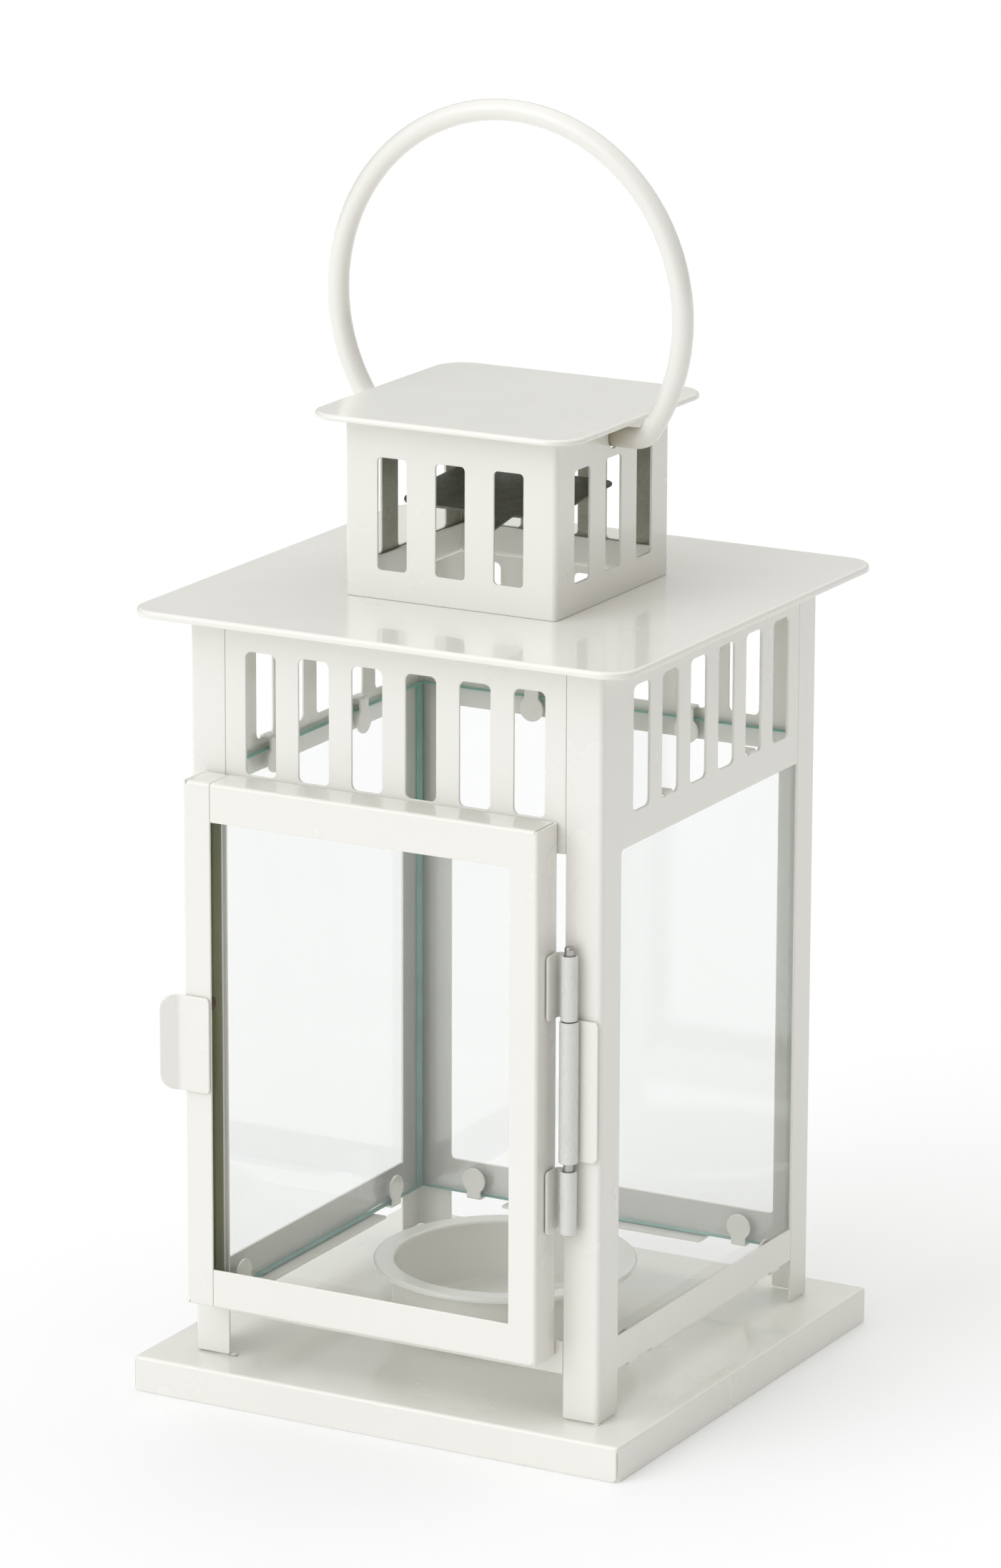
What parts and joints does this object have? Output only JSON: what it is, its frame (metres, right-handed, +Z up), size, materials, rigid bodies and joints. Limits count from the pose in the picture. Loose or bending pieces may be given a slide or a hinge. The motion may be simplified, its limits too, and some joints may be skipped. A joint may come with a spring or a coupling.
{
  "type": "candle lantern",
  "caption": "Square sheet-metal candle lantern with glass sides, a side-hinged glass door, a slotted top and chimney, a block-candle cup and a swinging ring handle.",
  "frame": {"origin": "centre of the footprint, on the surface the lantern stands on", "axes": "+Z up, -Y towards the door side, +X towards the door's hinge side"},
  "size_m": [0.1556, 0.1588, 0.3642],
  "materials": {
    "white_paint": "glossy warm white powder coat",
    "galvanised_steel": "unpainted galvanised sheet",
    "bare_steel": "bare drawn wire",
    "glass": "clear float glass with green edges"
  },
  "bodies": {
    "lantern_body": {"base_tray": "white_paint", "candle_cup": "white_paint", "front_left_post": "white_paint", "front_right_post": "white_paint", "back_right_post": "white_paint", "back_left_post": "white_paint", "front_panel": "white_paint", "right_panel": "white_paint", "back_panel": "white_paint", "left_panel": "white_paint", "front_rail": "white_paint", "right_rail": "white_paint", "back_rail": "white_paint", "left_rail": "white_paint", "right_glass": "glass", "back_glass": "glass", "left_glass": "glass", "roof": "white_paint", "chimney": "white_paint", "cap": "white_paint", "heat_baffle": "galvanised_steel", "hinge_body_leaf": "white_paint", "hinge_pin": "bare_steel"},
    "door": {"door_left_stile": "white_paint", "door_right_stile": "white_paint", "door_bottom_rail": "white_paint", "door_top_rail": "white_paint", "door_glass": "glass", "door_pull": "white_paint", "hinge_door_leaf_upper": "white_paint", "hinge_door_leaf_lower": "white_paint"},
    "handle": {"handle": "white_paint"}
  },
  "joints": [
    {"name": "door_hinge", "type": "hinge", "parent": "lantern_body", "child": "door", "pos_m": [0.0565, -0.0678, 0.1053], "axis": [0, 0, 1], "range_deg": [0, 140]},
    {"name": "handle_pivot", "type": "hinge", "parent": "lantern_body", "child": "handle", "pos_m": [0, 0, 0.2735], "axis": [1, 0, 0], "range_deg": [-118, 118]}
  ]
}
